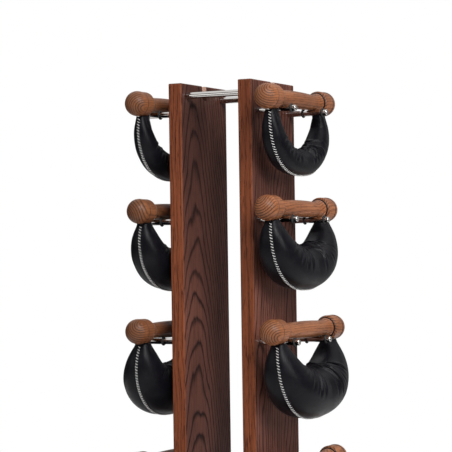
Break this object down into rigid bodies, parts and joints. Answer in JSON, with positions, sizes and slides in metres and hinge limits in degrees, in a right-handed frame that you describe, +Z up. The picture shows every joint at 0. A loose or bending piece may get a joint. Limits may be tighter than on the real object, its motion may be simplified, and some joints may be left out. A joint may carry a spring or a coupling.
{
  "type": "swing weight tower",
  "caption": "Free-standing wooden tower with steel pegs on its sides that carry swing weights: turned wooden handles with hanging leather pouches.",
  "frame": {"origin": "on the floor under the middle of the tower", "axes": "+Z up along the boards, +X towards the right-hand row of weights, +Y towards the back"},
  "size_m": [0.39, 0.3046, 0.933],
  "materials": {
    "board_wood": "dark stained open-grained wood with a satin oil finish",
    "handle_wood": "turned brown wood, oiled, with visible growth rings",
    "rod_steel": "polished stainless steel",
    "peg_steel": "polished stainless steel",
    "fastener_steel": "plain steel",
    "ring_rubber": "matte black rubber",
    "foot_rubber": "matte black rubber",
    "pouch_leather": "smooth black leather with white whip stitching",
    "granules": "mineral granules"
  },
  "bodies": {
    "tower": {"base_plate": "board_wood", "left_board": "board_wood", "right_board": "board_wood", "front_rod": "rod_steel", "rear_rod": "rod_steel", "rod_studs": "fastener_steel", "base_screws": "fastener_steel", "feet": "foot_rubber", "left_peg_rings": "ring_rubber", "right_peg_rings": "ring_rubber", "left_pegs_1": "peg_steel", "left_pegs_2": "peg_steel", "left_pegs_3": "peg_steel", "left_pegs_4": "peg_steel", "right_pegs_1": "peg_steel", "right_pegs_2": "peg_steel", "right_pegs_3": "peg_steel", "right_pegs_4": "peg_steel"},
    "left_weight_1": {"left_grip_1": "handle_wood", "left_knobs_1": "handle_wood", "left_studs_1": "fastener_steel"},
    "left_bag_1": {"left_pouch_1": "pouch_leather", "left_filling_1": "granules"},
    "left_weight_2": {"left_grip_2": "handle_wood", "left_knobs_2": "handle_wood", "left_studs_2": "fastener_steel"},
    "left_bag_2": {"left_pouch_2": "pouch_leather", "left_filling_2": "granules"},
    "left_weight_3": {"left_grip_3": "handle_wood", "left_knobs_3": "handle_wood", "left_studs_3": "fastener_steel"},
    "left_bag_3": {"left_pouch_3": "pouch_leather", "left_filling_3": "granules"},
    "left_weight_4": {"left_grip_4": "handle_wood", "left_knobs_4": "handle_wood", "left_studs_4": "fastener_steel"},
    "left_bag_4": {"left_pouch_4": "pouch_leather", "left_filling_4": "granules"},
    "right_weight_1": {"right_grip_1": "handle_wood", "right_knobs_1": "handle_wood", "right_studs_1": "fastener_steel"},
    "right_bag_1": {"right_pouch_1": "pouch_leather", "right_filling_1": "granules"},
    "right_weight_2": {"right_grip_2": "handle_wood", "right_knobs_2": "handle_wood", "right_studs_2": "fastener_steel"},
    "right_bag_2": {"right_pouch_2": "pouch_leather", "right_filling_2": "granules"},
    "right_weight_3": {"right_grip_3": "handle_wood", "right_knobs_3": "handle_wood", "right_studs_3": "fastener_steel"},
    "right_bag_3": {"right_pouch_3": "pouch_leather", "right_filling_3": "granules"},
    "right_weight_4": {"right_grip_4": "handle_wood", "right_knobs_4": "handle_wood", "right_studs_4": "fastener_steel"},
    "right_bag_4": {"right_pouch_4": "pouch_leather", "right_filling_4": "granules"}
  },
  "joints": [
    {"name": "left_weight_1_lift", "type": "slide", "parent": "tower", "child": "left_weight_1", "axis": [-0.9659, 0, 0.2588], "range_m": [0, 0.13]},
    {"name": "left_bag_1_swing", "type": "hinge", "parent": "left_weight_1", "child": "left_bag_1", "pos_m": [-0.136, 0, 0.89679], "axis": [0, 1, 0], "range_deg": [-11.5, 90]},
    {"name": "left_weight_2_lift", "type": "slide", "parent": "tower", "child": "left_weight_2", "axis": [-0.9659, 0, 0.2588], "range_m": [0, 0.13]},
    {"name": "left_bag_2_swing", "type": "hinge", "parent": "left_weight_2", "child": "left_bag_2", "pos_m": [-0.1325, 0, 0.69703], "axis": [0, 1, 0], "range_deg": [-3.2, 90]},
    {"name": "left_weight_3_lift", "type": "slide", "parent": "tower", "child": "left_weight_3", "axis": [-0.9659, 0, 0.2588], "range_m": [0, 0.13]},
    {"name": "left_bag_3_swing", "type": "hinge", "parent": "left_weight_3", "child": "left_bag_3", "pos_m": [-0.136, 0, 0.47524], "axis": [0, 1, 0], "range_deg": [-1.3, 90]},
    {"name": "left_weight_4_lift", "type": "slide", "parent": "tower", "child": "left_weight_4", "axis": [-0.9659, 0, 0.2588], "range_m": [0, 0.13]},
    {"name": "left_bag_4_swing", "type": "hinge", "parent": "left_weight_4", "child": "left_bag_4", "pos_m": [-0.1405, 0, 0.23034], "axis": [0, 1, 0], "range_deg": [-1.3, 90]},
    {"name": "right_weight_1_lift", "type": "slide", "parent": "tower", "child": "right_weight_1", "axis": [0.9659, 0, 0.2588], "range_m": [0, 0.13]},
    {"name": "right_bag_1_swing", "type": "hinge", "parent": "right_weight_1", "child": "right_bag_1", "pos_m": [0.133, 0, 0.89679], "axis": [0, -1, 0], "range_deg": [-10, 90]},
    {"name": "right_weight_2_lift", "type": "slide", "parent": "tower", "child": "right_weight_2", "axis": [0.9659, 0, 0.2588], "range_m": [0, 0.13]},
    {"name": "right_bag_2_swing", "type": "hinge", "parent": "right_weight_2", "child": "right_bag_2", "pos_m": [0.1325, 0, 0.69703], "axis": [0, -1, 0], "range_deg": [-3.2, 90]},
    {"name": "right_weight_3_lift", "type": "slide", "parent": "tower", "child": "right_weight_3", "axis": [0.9659, 0, 0.2588], "range_m": [0, 0.13]},
    {"name": "right_bag_3_swing", "type": "hinge", "parent": "right_weight_3", "child": "right_bag_3", "pos_m": [0.1415, 0, 0.47524], "axis": [0, -1, 0], "range_deg": [-4, 90]},
    {"name": "right_weight_4_lift", "type": "slide", "parent": "tower", "child": "right_weight_4", "axis": [0.9659, 0, 0.2588], "range_m": [0, 0.13]},
    {"name": "right_bag_4_swing", "type": "hinge", "parent": "right_weight_4", "child": "right_bag_4", "pos_m": [0.1415, 0, 0.23034], "axis": [0, -1, 0], "range_deg": [-1.7, 90]}
  ]
}
